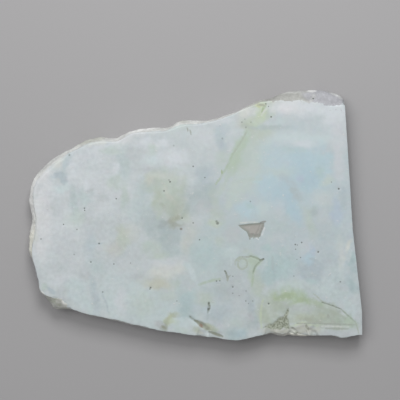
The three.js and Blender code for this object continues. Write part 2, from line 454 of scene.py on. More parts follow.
def stone_mesh():
    """The whole slab as (points, faces, marks): a face grid, the rim's rows and a back grid.

    The face's outer ring is the rim's first row. The back's grid is half as fine, so each step of
    its outer ring is joined to two steps of the rim's last row by three triangles. Nodes of the
    face close to the crystal's outline move onto it.
    """
    triangles = triangles_of(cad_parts["larimar_slab"])
    crystal = crystal_outline(triangles)
    rim, rim_depth, broken = rim_surface(triangles)

    out, turn = ring_grid(FACE_CELLS)
    face = spread(rim[0], out, turn)
    nearest = nearest_on(face, crystal)
    close = np.hypot(*(face - nearest).T) < 0.4 * SIZE[1] / FACE_CELLS
    face[close] = nearest[close]
    depth, chipped, patch, worn = face_relief(face, crystal)
    face_edge = edge_of(out, turn)
    wear = rise(out, 1 - 1.5 / FACE_CELLS, 1) * EDGE_WEAR
    face = np.column_stack([face, FACE - depth - wear])

    top = face[face_edge, 2]
    rim[1:, :, 2] = np.minimum(rim[1:, :, 2], top - LEAST_DROP * np.arange(1, ROWS)[:, None])

    back_out, back_turn = ring_grid(BACK_CELLS)
    back = spread(rim[-1], back_out * (1 - 1 / BACK_CELLS), back_turn)
    back = np.column_stack([back, 0.01 * (1 + lumps(on_plane(back), 4, 81))])

    points = np.concatenate([face, rim[1:].reshape(-1, 3), back])
    ring = np.arange((ROWS - 1) * COLUMNS).reshape(ROWS - 1, COLUMNS) + len(face)
    rings = np.concatenate([face_edge[None], ring])
    after = np.roll(rings, -1, 1)
    rim_quads = np.stack([rings[:-1], rings[1:], after[1:], after[:-1]], -1).reshape(-1, 4)
    back_start = len(points) - len(back)
    back_quads = grid_quads(BACK_CELLS)[:, ::-1] + back_start
    inner = edge_of(back_out, back_turn) + back_start
    inner_after = np.roll(inner, -1)
    first, second, third = rings[-1, ::2], rings[-1, 1::2], np.roll(rings[-1, ::2], -1)
    seam = np.concatenate([
        np.stack([second, first, inner], -1),
        np.stack([inner_after, second, inner], -1),
        np.stack([third, second, inner_after], -1),
    ])
    parts = [grid_quads(FACE_CELLS), rim_quads, back_quads, seam]
    faces = [corners for part in parts for corners in part.tolist()]

    face_rind, rind = crust_shares(rim, broken, out, turn)
    none = np.zeros(len(back))
    below = np.zeros(rind.size + len(back))
    marks = {
        "rind": np.concatenate([face_rind, rind, none]),
        # How deep each point lies in a hollow or chip; the material paints shade on the crust from
        # it
        "hollow": np.concatenate([chipped, rim_depth[1:].ravel(), none]),
        "crystal": np.concatenate([worn, below - 10]),
        "rough": np.concatenate([patch, below]),
    }
    return points, faces, marks


def add_object(name, data):
    """A new object in the scene, at the origin."""
    made = bpy.data.objects.new(name, data)
    bpy.context.scene.collection.objects.link(made)
    return made


def make_piece(name, points, faces, marks, material):
    """A mesh object from points in millimetres, with a number at each point for each mark."""
    mesh = bpy.data.meshes.new(name)
    mesh.from_pydata((points * MM).tolist(), [], faces)
    for mark, values in marks.items():
        numbers = mesh.attributes.new(mark, "FLOAT", "POINT").data
        numbers.foreach_set("value", values.astype(np.float32))
    mesh.shade_smooth()
    mesh.set_sharp_from_angle(angle=math.radians(40))
    mesh.materials.append(material)
    return add_object(name, mesh)


# Colours of the stone, as red, green and blue from 0 to 255
PAINTS = {
    "lavender": (186, 194, 196),
    "pink white": (192, 198, 201),
    "lilac white": (199, 205, 209),
    "lilac": (191, 196, 200),
    "ice": (189, 201, 203),
    "pale aqua": (185, 198, 199),
    "aqua grey": (177, 190, 191),
    "blue grey": (177, 189, 193),
    "slate blue": (170, 182, 187),
    "mauve grey": (179, 186, 188),
    "green white": (183, 195, 191),
    "sage": (178, 190, 185),
    "olive mist": (176, 187, 178),
    "olive": (171, 181, 169),
    "dark olive": (164, 174, 162),
    "umber": (155, 161, 153),
    "slate": (167, 179, 180),
    "dark slate": (158, 169, 170),
    "ochre": (187, 192, 183),
    "amber": (186, 188, 175),
    "cream": (199, 203, 198),
    "peach": (189, 193, 189),
    "teal": (171, 190, 191),
    "dark teal": (160, 179, 181),
    "sky": (175, 195, 202),
    "blue": (169, 190, 199),
    "indigo": (172, 186, 199),
    "moss": (172, 187, 172),
    "dark moss": (165, 180, 162),
    "leaf": (165, 181, 155),
    "dark leaf": (155, 171, 139),
    "lime": (184, 196, 172),
    "yellow": (181, 186, 150),
    "khaki": (168, 176, 158),
    "brown": (160, 165, 152),
    "deep green": (148, 161, 146),
    "bright": (207, 209, 211),
    "bark": (142, 146, 132),
    "soot": (128, 136, 126),
    "pitch": (92, 97, 92),
    "rust": (138, 118, 104),
    "beige": (187, 189, 179),
    "grit": (124, 130, 115),
    "grit light": (166, 173, 158),
    "crystal": (163, 161, 156),
    "crystal edge": (140, 145, 138),
    "crystal shade": (136, 135, 131),
    "crust": (203, 205, 203),
    "crust white": (229, 230, 229),
    "crust cream": (224, 224, 214),
    "crust pink": (202, 199, 201),
    "crust olive": (182, 184, 176),
    "crust grey": (168, 169, 165),
    "crust violet": (171, 172, 177),
}

# Soft-edged stains through the stone, the later ones over the earlier: paint, per cent across and
# along, half width and half depth in millimetres, turn in degrees, softness of the edge and, where
# it isn't the usual one, strength
STAINS = {
    # The broad grounds: pinkish at the rounded end, blue grey at the trimmed one
    "broad grounds": [
        ("pink white", 8, 44, 9, 10, 0, 0.8),
        ("pink white", 22, 62, 8, 6, 0, 0.8),
        ("blue grey", 80, 52, 24, 24, 0, 0.5, 0.9),
        ("sky", 79, 66, 10, 8, -20, 0.7, 0.5),
        ("aqua grey", 56, 34, 12, 10, 0, 0.7),
        ("pale aqua", 36, 14, 14, 6, -14, 0.6),
        ("lavender", 50, 76, 9, 6, 0, 0.8),
    ],
    "rounded end": [
        ("lilac white", 20, 75.4, 7.0, 2.2, 22, 0.8, 0.8),
        ("bright", 28, 79.4, 3.0, 1.0, 18, 0.8, 0.7),
        ("cream", 23.6, 80.4, 4.4, 0.7, 14, 0.8, 0.7),
        ("slate blue", 9.2, 66.4, 2.6, 0.9, 8, 0.4),
        ("slate blue", 10.6, 64.4, 1.0, 0.8, -50, 0.5),
        ("blue grey", 11.7, 71.4, 0.8, 2.5, -14, 0.4),
        ("lilac white", 13.9, 69, 1.4, 3.6, -8, 0.8, 0.7),
        ("cream", 9.4, 71.6, 1.6, 0.9, 40, 0.7),
        ("lilac white", 5.4, 59.5, 2.5, 3.0, 0, 0.5),
        ("ice", 9.4, 61.8, 2.4, 0.9, 0, 0.5),
        ("mauve grey", 2.6, 61.6, 0.7, 2.2, -25, 0.6),
        ("aqua grey", 13.1, 55.5, 1.2, 3.8, 0, 0.5),
        ("aqua grey", 16.4, 58, 1.8, 1.8, 0, 0.8),
        ("green white", 14, 49.5, 2.4, 2.2, 0, 0.8),
        ("mauve grey", 17.6, 60.3, 1.0, 0.5, 10, 0.7),
        ("lilac white", 26, 69, 0.9, 1.6, 0, 0.7),
        ("lilac white", 17.2, 62.3, 0.6, 1.3, 0, 0.7),
        ("cream", 1.6, 51.5, 0.9, 4.2, 4, 0.5),
        ("ochre", 1.9, 43, 1.0, 2.2, 0, 0.6),
        ("bright", 3.6, 34, 1.0, 3.4, 12, 0.8, 0.4),
        ("bright", 4.0, 51, 2.4, 8.0, 0, 0.8, 0.8),
        ("bright", 4.6, 67, 1.2, 4.6, -34, 0.8, 0.7),
        ("lavender", 7.4, 31.5, 3, 3, 0, 0.8),
        ("lilac white", 10.4, 24.6, 2.8, 1.7, 0, 0.9, 0.7),
        ("blue grey", 18.2, 38.5, 1.5, 3.0, 0, 0.8),
        ("slate blue", 21, 39.4, 0.8, 0.4, 0, 0.6),
        ("pale aqua", 13.8, 22.5, 2.4, 1.4, 0, 0.6),
        ("ice", 14.0, 18.4, 2.5, 1.5, -10, 0.5),
        ("pale aqua", 16.5, 14.5, 3.0, 1.5, -20, 0.6),
        ("mauve grey", 17.2, 26, 2.0, 1.0, -15, 0.7),
        ("blue grey", 19.6, 17.5, 1.1, 5.0, 12, 0.6),
        ("slate blue", 23, 14.6, 0.3, 2.4, 14, 0.7, 0.6),
        ("slate blue", 6.5, 20.6, 1.4, 0.7, -35, 0.5),
        ("sage", 4.6, 21.8, 1.0, 1.2, -20, 0.7),
        ("pink white", 27.8, 16, 1.5, 3.8, 6, 0.7),
        ("ice", 25, 25.5, 2.8, 2.6, 0, 0.9, 0.5),
        ("mauve grey", 32.5, 26.6, 1.6, 0.8, 15, 0.7),
        ("green white", 34.5, 15, 3.0, 3.0, 0, 0.7),
        ("aqua grey", 20.4, 30, 2.2, 2.4, 0, 0.8),
        ("mauve grey", 22, 57, 1.4, 0.8, 0, 0.8),
    ],
    # Between the rounded end and the olive middle
    "pale side": [
        ("aqua grey", 28.6, 70, 1.7, 4.4, 0, 0.6),
        ("green white", 24.8, 76.2, 2.0, 1.2, 0, 0.7),
        ("mauve grey", 32, 76, 2.0, 2.6, -20, 0.7),
        ("lilac white", 34.2, 79.4, 2.2, 1.2, 10, 0.6),
        ("lilac white", 39.6, 79.6, 2.2, 1.2, 8, 0.6),
        ("green white", 36.8, 77, 1.2, 1.4, 0, 0.6),
        ("ice", 37.5, 73, 1.7, 1.5, 0, 0.7),
        ("sage", 25.6, 63, 1.6, 1.6, 0, 0.7),
        ("sage", 28.6, 57, 1.0, 3.0, 0, 0.7),
        ("aqua grey", 33.5, 53, 3.2, 3.0, 0, 0.7),
        ("aqua grey", 34.4, 60.4, 2.0, 2.6, 0, 0.8),
        ("lilac white", 43, 73.6, 3.4, 2.0, 0, 0.8),
        ("olive mist", 27.6, 41, 1.4, 3.0, 0, 0.7),
        ("ochre", 29, 43.4, 2.6, 1.8, 0, 0.9, 0.5),
        ("peach", 31.2, 46, 2.0, 1.2, 0, 0.9, 0.4),
        ("peach", 25.3, 37.5, 2.0, 1.5, 0, 0.8),
    ],
    "olive middle": [
        ("mauve grey", 36, 68.6, 3.0, 0.8, 0, 0.7),
        ("olive mist", 40.4, 64, 4.6, 3.0, 0, 0.6, 0.8),
        ("olive mist", 41.6, 57, 3.4, 4.6, 0, 0.6),
        ("slate", 37.4, 47, 3.4, 3.0, -15, 0.6),
        ("slate", 41.5, 41.5, 3.0, 3.4, 0, 0.6),
        ("sage", 36.5, 38, 3.0, 1.5, 0, 0.6),
        ("olive", 38.8, 58, 1.0, 3.0, 0, 0.8, 0.7),
        ("olive", 44.2, 55, 2.6, 3.0, 0, 0.8, 0.6),
        ("olive", 46.6, 62.4, 1.4, 2.4, 0, 0.9, 0.5),
        ("ochre", 36, 65, 1.4, 1.4, 0, 0.8),
        ("cream", 41, 66.4, 3.4, 0.8, 0, 0.9, 0.4),
        ("ochre", 42.2, 58.6, 0.7, 3.6, 28, 0.8, 0.7),
        ("dark olive", 40.2, 54.2, 0.8, 0.8, 0, 0.6),
        ("dark olive", 47, 52, 0.7, 1.6, -20, 0.7),
        ("dark slate", 40.4, 47, 1.8, 1.0, 25, 0.6),
        ("dark olive", 43.2, 51.6, 1.8, 2.6, 0, 0.9, 0.5),
        ("umber", 44.2, 46.8, 2.0, 1.1, -12, 0.6),
        ("umber", 42.6, 48.6, 0.8, 0.8, 0, 0.7),
        ("olive mist", 39.2, 52.3, 1.3, 1.5, 0, 0.8, 0.7),
        ("brown", 44.8, 49.6, 1.4, 1.0, 0, 0.8),
        ("slate", 43, 36.2, 2.2, 1.3, 0, 0.8, 0.7),
        ("olive mist", 39.3, 35.2, 2.1, 1.4, 0, 0.8, 0.8),
        ("slate", 48.4, 53.7, 1.7, 2.1, 0, 0.8, 0.7),
        ("olive mist", 46.8, 49, 1.1, 1.4, 0, 0.8, 0.7),
        ("peach", 48.4, 45, 1.6, 2.8, 0, 0.9, 0.6),
        ("peach", 47, 38.5, 1.0, 3.0, 0, 0.9, 0.8),
        ("lavender", 50.6, 48.5, 1.4, 1.4, 0, 0.8),
    ],
    # The amber spot with the pale crescent over it
    "amber spot": [
        ("pink white", 41.8, 31.4, 5.2, 1.6, 2, 0.6),
        ("cream", 42, 29.2, 3.6, 1.2, -4, 0.8, 0.6),
        ("cream", 39.4, 26.9, 3.0, 1.2, -6, 0.8, 0.9),
        ("cream", 45.4, 29.4, 1.4, 1.6, 30, 0.8, 0.4),
        ("ice", 48.4, 27.6, 0.8, 3.0, 28, 0.6),
        ("ochre", 38.8, 23.2, 3.6, 1.6, -6, 0.7),
        ("amber", 38.4, 22.8, 1.8, 0.9, 0, 0.8, 0.7),
        ("sage", 43.4, 23.6, 1.6, 1.0, -10, 0.7),
        ("green white", 41.6, 18.2, 2.4, 1.2, 0, 0.8),
        ("teal", 47.2, 15, 2.0, 3.6, -6, 0.8, 0.6),
        ("dark teal", 46.8, 13.4, 1.4, 2.6, -6, 0.9, 0.7),
        ("teal", 48, 18.1, 1.4, 1.2, 0, 0.8, 0.6),
        ("aqua grey", 45.4, 20.6, 1.4, 1.2, 0, 0.7),
    ],
    # The near edge left of the green
    "near edge": [
        ("ice", 45.8, 7.6, 3.0, 1.3, -6, 0.6),
        ("khaki", 43.4, 10.2, 1.6, 0.7, 18, 0.7),
        ("yellow", 41.8, 8.2, 1.0, 1.5, -32, 0.7, 0.6),
        ("khaki", 41.2, 7.4, 0.7, 1.3, -30, 0.7),
        ("umber", 40.0, 5.8, 1.3, 0.8, -20, 0.7),
        ("mauve grey", 39, 6.6, 1.0, 0.7, -15, 0.6),
        ("cream", 51.2, 3.6, 1.6, 0.5, -12, 0.6),
        ("khaki", 50.1, 5, 1.6, 0.9, -20, 0.8, 0.7),
        ("green white", 46.2, 4.8, 2.0, 0.9, -10, 0.8, 0.7),
        ("slate", 65.7, 7.0, 1.4, 1.2, 0, 0.8, 0.7),
        ("sage", 62.7, 7.8, 1.5, 1.1, 0, 0.8, 0.8),
        ("lime", 43.2, 8.2, 1.2, 0.7, 0, 0.8, 0.5),
        ("olive", 54.6, 5.6, 1.8, 1.0, -25, 0.6),
        ("khaki", 53.8, 5.8, 1.2, 0.8, -40, 0.6),
        ("lilac", 57.6, 6.4, 1.2, 0.9, 0, 0.7),
        ("dark teal", 61.8, 3.2, 2.8, 1.8, 0, 0.7, 0.8),
        ("blue", 63.4, 4.0, 1.2, 1.0, 0, 0.8, 0.5),
        ("slate blue", 57.0, 11.4, 2.6, 2.0, 30, 0.8),
        ("pale aqua", 62, 8.0, 2.6, 2.0, 0, 0.9, 0.4),
        ("slate blue", 67, 13, 0.8, 3.4, 6, 0.7),
        ("slate", 68, 9.2, 1.1, 2.0, -10, 0.7),
    ],
    # The lilac ground round the loop
    "round the loop": [
        ("teal", 53, 35.4, 4.0, 3.6, 0, 0.8, 0.6),
        ("mauve grey", 62, 23, 4.0, 5.4, 0, 0.8, 0.6),
        ("slate", 57.4, 20, 2.6, 2.4, 0, 0.9, 0.5),
        ("blue grey", 53.4, 14.4, 4.0, 2.4, 0, 0.8),
        ("olive mist", 52.5, 17.3, 2.0, 1.4, 0, 0.8, 0.8),
        ("pale aqua", 60.6, 35.5, 1.8, 1.2, 0, 0.7),
        ("moss", 67.2, 32.2, 1.8, 1.2, -10, 0.6, 0.9),
        ("moss", 66.4, 28.6, 0.9, 2.4, 10, 0.7, 0.8),
        ("sage", 65.4, 35.4, 1.2, 0.8, 0, 0.8),
        ("sage", 64.0, 31.3, 1.2, 1.4, 0, 0.6),
        ("ice", 70.8, 30, 0.6, 1.6, -30, 0.8),
        ("olive mist", 68.6, 22.6, 1.8, 2.8, 0, 0.6),
        ("teal", 71, 37.2, 1.5, 0.7, 0, 0.6),
        ("sage", 57.4, 41, 1.8, 1.4, 0, 0.8),
        ("mauve grey", 61, 43, 2.6, 1.8, 0, 0.8),
    ],
    # The dark green fold and the green band that runs down from the yellow stain
    "green band": [
        ("pink white", 53.4, 82, 3.4, 2.4, 0, 0.7),
        ("blue grey", 57.4, 84, 1.8, 2.6, 0, 0.5),
        ("slate blue", 58, 80, 1.2, 2.2, 10, 0.7),
        ("pink white", 58.4, 88.6, 4.0, 0.8, 8, 0.6),
        ("green white", 45, 86, 3.4, 1.0, 8, 0.8, 0.6),
        ("bright", 33, 83.6, 5.2, 1.0, 13, 0.8, 0.6),
        ("slate blue", 52.4, 66, 2.0, 2.4, 0, 0.7),
        ("slate", 50.8, 58.4, 2.6, 2.2, 0, 0.7),
        ("mauve grey", 52.4, 54, 2.6, 1.8, 0, 0.6),
        ("slate", 54.4, 60, 1.4, 3.0, -14, 0.6),
        ("olive mist", 55.2, 57, 0.8, 2.6, 0, 0.8, 0.5),
        ("olive mist", 56.2, 50.8, 1.8, 2.2, 0, 0.7, 0.6),
        ("lime", 55.2, 47.6, 1.4, 0.9, 0, 0.6, 0.4),
        ("green white", 66.4, 72, 4.0, 7.5, -14, 0.6),
        ("sage", 64.6, 76, 3.0, 7.0, -28, 0.5),
        ("moss", 63.0, 76.5, 1.2, 7.0, -29, 0.6),
        ("moss", 61.6, 71, 1.5, 2.4, -20, 0.8),
        ("sage", 57.8, 72.6, 1.6, 2.2, -20, 0.8, 0.8),
        ("sage", 58.2, 63, 0.8, 4.0, -30, 0.6),
        ("green white", 61.6, 60, 2.6, 2.6, 0, 0.7),
        ("green white", 66.6, 64, 2.2, 0.8, 18, 0.8),
        ("olive mist", 69.6, 83, 3.4, 1.9, 0, 0.6),
        ("ochre", 64.4, 87.6, 2.0, 2.4, 0, 0.7, 0.6),
        ("olive", 65.4, 86, 1.2, 1.4, -30, 0.8),
        ("cream", 65.6, 91.6, 2.8, 0.9, 14, 0.7),
        ("lime", 68.6, 88.6, 2.2, 1.5, 20, 0.6, 0.6),
        ("khaki", 67.2, 93.8, 1.1, 0.7, 20, 0.8, 0.6),
        ("lime", 70.6, 92.4, 2.2, 2.0, 0, 0.6, 0.9),
        ("yellow", 72, 95.2, 1.2, 0.6, 0, 0.8, 0.6),
        ("moss", 71.2, 94.2, 1.0, 1.2, -20, 0.6),
        ("yellow", 69.2, 93.8, 1.2, 0.6, -12, 0.6),
        ("sage", 71.6, 91, 0.8, 1.2, 0, 0.8),
    ],
    "far edge": [
        ("cream", 79, 95.2, 5.4, 0.8, 0, 0.6),
        ("pink white", 78, 92.8, 5.4, 2.0, 0, 0.6),
        ("bright", 77.6, 93, 4.4, 1.2, 0, 0.8),
        ("lilac white", 84, 93, 4.0, 1.6, -4, 0.8),
        ("lilac white", 91.4, 90, 3.2, 3.4, 0, 0.7),
        ("lilac", 92.6, 82, 1.8, 5.0, 0, 0.8),
        ("pale aqua", 74.6, 87.4, 1.8, 0.8, 0, 0.8, 0.6),
        ("slate", 72, 85.2, 4.8, 0.55, -1, 0.8, 0.7),
        ("ice", 79, 81, 5.4, 1.6, 0, 0.9, 0.9),
        ("ice", 88.6, 81, 2.4, 1.4, 0, 0.9, 0.7),
    ],
    "blue": [
        ("sky", 73.4, 73, 3.4, 3.0, 0, 0.8, 0.5),
        ("teal", 80, 76.4, 3.4, 1.2, 0, 0.8, 0.5),
        ("sky", 84.4, 69.6, 5.2, 5.0, 0, 0.6, 0.9),
        ("blue", 83.4, 69, 3.8, 3.6, 0, 0.7, 0.8),
        ("sky", 86.6, 73, 2.2, 2.6, 0, 0.8, 0.7),
        ("lilac white", 82, 78.6, 2.6, 0.9, 0, 0.9, 0.7),
        ("teal", 87, 67.6, 1.2, 1.8, 0, 0.8),
        ("green white", 75, 67.4, 3.2, 1.3, 10, 0.9, 0.6),
        ("blue", 83.6, 63.4, 2.4, 1.8, 0, 0.7),
        ("indigo", 81.3, 65.4, 1.0, 1.0, 0, 0.6),
        ("green white", 89.4, 64, 1.8, 1.0, 35, 0.6),
        ("sky", 71.6, 62.6, 3.2, 2.4, 0, 0.6),
        ("blue", 75.8, 60, 3.0, 2.8, 0, 0.7, 0.8),
        ("blue", 78, 56.4, 1.4, 2.4, 18, 0.7),
        ("blue", 79.4, 52, 1.7, 3.0, 10, 0.7),
        ("lilac", 75, 52.6, 1.3, 2.0, 0, 0.9, 0.4),
        ("pale aqua", 70.4, 52.6, 2.0, 1.8, 0, 0.8),
        ("sky", 65.6, 52.6, 2.6, 2.4, 0, 0.6),
        ("teal", 66.4, 53.8, 1.2, 0.9, 0, 0.7),
        ("green white", 59.6, 54.6, 0.8, 1.6, 20, 0.8),
    ],
    # The grey and lilac ground right of the crystal
    "right of the crystal": [
        ("aqua grey", 73.6, 46, 3.4, 3.0, 0, 0.8),
        ("pink white", 74.6, 41.6, 2.2, 1.2, 0, 0.9, 0.4),
        ("sage", 84, 48, 1.4, 4.0, 12, 0.7),
        ("slate", 85.4, 52.6, 1.4, 1.4, 30, 0.7),
        ("cream", 88, 57.6, 2.4, 1.4, 0, 0.9, 0.4),
        ("lavender", 88.4, 50, 1.8, 3.0, 0, 0.8, 0.6),
        ("indigo", 92, 51, 1.2, 3.2, 0, 0.8, 0.8),
        ("lilac", 92.6, 70, 1.2, 4.4, 0, 0.7, 0.8),
        ("slate blue", 94.4, 57.4, 0.8, 2.4, 0, 0.7),
        ("aqua grey", 91, 43.6, 2.6, 2.6, 0, 0.8, 0.5),
        ("cream", 93.4, 34, 0.9, 3.8, 4, 0.8, 0.5),
        ("cream", 95.4, 38.4, 0.6, 1.4, -25, 0.8),
        ("lilac", 83.6, 38, 2.2, 2.6, 0, 0.7, 0.4),
        ("indigo", 84.8, 36.6, 0.9, 1.6, 0, 0.8),
        ("teal", 75.6, 30.4, 3.6, 3.8, 0, 0.6),
        ("teal", 72, 27, 2.0, 2.2, 0, 0.8),
        ("slate blue", 84.6, 28, 3.2, 2.8, 0, 0.35),
        ("blue", 84, 32.8, 1.6, 1.2, 0, 0.7),
        ("teal", 84.6, 24, 1.4, 0.6, 0, 0.7),
        ("pale aqua", 78.4, 22.4, 2.6, 1.6, 0, 0.8),
        ("aqua grey", 92, 27.6, 1.8, 2.4, 0, 0.7),
        ("pale aqua", 90.4, 19.6, 4.4, 2.4, -22, 0.7),
        ("pale aqua", 96, 14, 1.2, 3.6, 16, 0.7),
        ("dark teal", 97, 33.4, 0.6, 1.4, 8, 0.7),
        ("dark teal", 97.3, 22.8, 1.1, 2.4, 20, 0.8, 0.7),
        ("dark teal", 96.8, 31.8, 1.0, 2.0, 0, 0.8, 0.7),
    ],
    "green corner": [
        ("olive mist", 72, 13, 3.0, 4.6, 0, 0.45),
        ("khaki", 70.6, 9.6, 1.0, 3.0, 10, 0.8, 0.5),
        ("olive", 75.2, 15.6, 2.2, 2.0, 0, 0.8),
        ("mauve grey", 66.8, 10, 0.9, 2.0, 0, 0.7),
        ("olive", 85, 10.4, 8.6, 3.4, -6, 0.3, 0.7),
        ("mauve grey", 82, 12.8, 2.8, 0.8, -6, 0.8, 0.5),
        ("dark olive", 91.4, 9, 4.8, 1.7, -16, 0.5, 0.7),
        ("moss", 96, 7.6, 1.8, 1.2, -40, 0.8),
        ("green white", 79, 21.8, 4.6, 1.2, 0, 0.8, 0.5),
        ("moss", 79, 19.6, 4.2, 1.0, -3, 0.8, 0.7),
        ("leaf", 79.2, 17.8, 4.6, 1.1, -4, 0.6, 0.7),
        ("dark leaf", 77, 18.0, 1.8, 0.6, 4, 0.8, 0.6),
        ("dark leaf", 81.8, 17.2, 2.0, 0.7, -10, 0.8, 0.6),
        ("leaf", 86.0, 15.6, 2.4, 0.9, -26, 0.7, 0.6),
        ("khaki", 83.4, 9.4, 4.2, 0.8, 0, 0.7, 0.6),
        ("brown", 84.6, 8.4, 2.6, 0.5, -4, 0.8, 0.6),
        ("lime", 82.4, 6.9, 3.6, 0.35, 0, 0.7),
        ("beige", 82, 4.6, 4.4, 1.3, 0, 0.6),
        ("beige", 74, 4.0, 3.4, 1.2, 0, 0.6),
        ("mauve grey", 91.6, 4, 4.2, 0.9, 0, 0.6),
    ],
}

# Fine lines in the face as arcs: paint, start and end in per cents, bulge, half width, blur and
# strength, in millimetres from the bulge to the blur
VEINS = [
    # The loop, its inner ring and its tail
    ("dark olive", (61.8, 31.0), (64.0, 34.1), 0.6, 0.12, 0.3, 0.9),
    ("umber", (64.0, 34.1), (66.5, 34.3), -0.1, 0.12, 0.3, 0.9),
    ("deep green", (66.3, 34.3), (69.6, 32.6), 0.15, 0.15, 0.25, 1.0),
    ("soot", (69.2, 32.7), (70.4, 33.2), -0.05, 0.18, 0.2, 1.0),
    ("deep green", (69.8, 32.5), (67.2, 27.2), -0.5, 0.15, 0.25, 1.0),
    ("dark moss", (67.2, 27.4), (66.8, 22.6), 0.1, 0.14, 0.4, 0.9),
    ("dark olive", (62.6, 31.3), (65.4, 31.3), 1.35, 0.1, 0.3, 0.9),
    ("dark olive", (62.6, 31.3), (65.4, 31.3), -1.35, 0.1, 0.3, 0.9),
    ("ice", (60.6, 34.0), (60.6, 30.6), 0.05, 0.1, 0.3, 0.7),
    ("slate", (73.0, 34.0), (73.0, 29.0), 0.05, 0.14, 0.4, 0.6),
    # The forked crack and the green line that leads to it
    ("soot", (58.7, 28.5), (59.5, 25.4), 0.1, 0.12, 0.2, 1.0),
    ("umber", (59.5, 26.6), (59.5, 24.6), 0.05, 0.2, 0.25, 0.9),
    ("umber", (59.6, 25.6), (60.4, 26.6), 0.05, 0.08, 0.2, 0.9),
    ("dark moss", (51.0, 23.0), (57.2, 25.2), 0.15, 0.14, 0.5, 0.7),
    # The upright scratch
    ("soot", (53.95, 15.7), (53.7, 11.8), 0.12, 0.24, 0.25, 1.0),
    ("slate", (53.8, 12.0), (53.4, 9.0), 0.05, 0.1, 0.4, 0.8),
    # The crack with rust in it
    ("soot", (48.2, 10.1), (50.6, 7.8), -0.1, 0.14, 0.3, 1.0),
    ("soot", (50.4, 8.0), (52.0, 6.0), 0.05, 0.2, 0.35, 0.9),
    ("soot", (54.0, 4.0), (58.0, 2.2), 0.1, 0.14, 0.35, 0.8),
    # The green corner
    ("dark olive", (85.4, 19.2), (88.2, 15.8), 0.1, 0.08, 0.3, 0.8),
    ("soot", (88.0, 15.8), (93.8, 13.0), 0.12, 0.08, 0.2, 0.9),
    ("deep green", (93.8, 13.0), (98.0, 8.0), -0.05, 0.1, 0.22, 0.8),
    ("dark olive", (98.0, 8.0), (99.0, 3.6), 0.08, 0.1, 0.25, 0.8),
    ("dark olive", (86.4, 14.2), (95.0, 9.2), 0.4, 0.14, 0.5, 0.7),
    ("umber", (80.4, 7.4), (97.8, 6.8), 0.1, 0.08, 0.25, 0.8),
    ("cream", (88.0, 6.2), (96.0, 6.0), 0.05, 0.1, 0.25, 0.8),
    ("umber", (89.0, 5.4), (96.0, 5.2), -0.05, 0.08, 0.25, 0.7),
    ("umber", (89.7, 10.8), (89.9, 9.7), 0.05, 0.2, 0.25, 0.8),
    ("lime", (70.2, 17.0), (69.8, 5.4), -0.4, 0.12, 0.35, 0.7),
    ("bark", (79.1, 5.6), (80.9, 3.0), 0.05, 0.2, 0.25, 0.9),
    ("bark", (83.3, 6.6), (84.2, 4.6), -0.1, 0.16, 0.25, 0.9),
    # Painted highlight: a cream arc over the lit facets of the chips at the near edge
    ("cream", (78.6, 5.6), (82.8, 4.4), -0.5, 0.2, 0.4, 0.6),
    # The worn crystal's dark strokes, its ragged lower edge, and a painted highlight: the light
    # lines along its top and right edges
    ("crystal shade", (70.4, 47.2), (69.0, 42.4), 0.1, 0.12, 0.2, 0.8),
    ("crystal shade", (69.4, 47.4), (67.8, 42.6), 0.1, 0.08, 0.25, 0.6),
    ("crystal shade", (69.4, 47.6), (70.8, 48.2), 0.03, 0.16, 0.25, 0.9),
    ("crystal shade", (66.2, 42.8), (67.8, 42.4), 0.02, 0.35, 0.35, 0.9),
    ("crystal shade", (68.2, 42.6), (69.2, 42.4), 0.02, 0.3, 0.3, 0.8),
    ("crystal edge", (66.2, 43.2), (66.2, 41.2), 0.02, 0.16, 0.2, 1.0),
    ("crystal edge", (67.3, 43.0), (67.4, 41.5), 0.02, 0.22, 0.15, 1.0),
    ("crystal edge", (68.8, 43.0), (68.7, 41.6), 0.02, 0.2, 0.15, 1.0),
    ("bright", (68.1, 41.6), (68.9, 40.8), 0.02, 0.08, 0.15, 0.9),
    # Painted highlight along the crystal's top edge and right edge
    ("cream", (63.4, 47.6), (68.6, 47.8), 0.05, 0.1, 0.25, 0.8),
    ("bright", (70.5, 45.6), (69.8, 42.6), 0.05, 0.12, 0.25, 0.8),
    # The green band's dark line and its strokes
    ("dark olive", (65.2, 84.0), (61.0, 74.8), 0.15, 0.1, 0.3, 0.8),
    ("dark moss", (61.0, 74.8), (56.0, 63.0), 0.3, 0.12, 0.4, 0.8),
    ("dark leaf", (57.7, 68.4), (57.8, 67.2), 0.03, 0.1, 0.25, 0.9),
    ("dark leaf", (70.9, 94.0), (69.7, 91.4), -0.2, 0.12, 0.3, 0.8),
    ("brown", (68.4, 94.3), (70.4, 93.8), 0.1, 0.16, 0.3, 0.9),
    ("cream", (71.0, 92.6), (69.6, 90.0), -0.15, 0.1, 0.3, 0.7),
    # Strokes by the far edge
    ("umber", (47.4, 85.2), (47.6, 84.0), 0.05, 0.1, 0.2, 0.9),
    ("umber", (48.2, 84.3), (48.6, 82.6), 0.05, 0.1, 0.2, 0.8),
    # The dark edge of the blue and the lines of the lilac ground
    ("slate blue", (75.6, 66.0), (79.8, 57.6), 1.1, 0.3, 1.4, 0.6),
    ("slate", (78.6, 61.0), (81.2, 57.0), 0.2, 0.2, 1.2, 0.6),
    ("slate blue", (84.2, 33.4), (88.2, 30.0), 0.4, 0.15, 0.5, 0.8),
    ("sage", (61.0, 63.4), (69.6, 65.0), 0.3, 0.15, 0.6, 0.5),
]

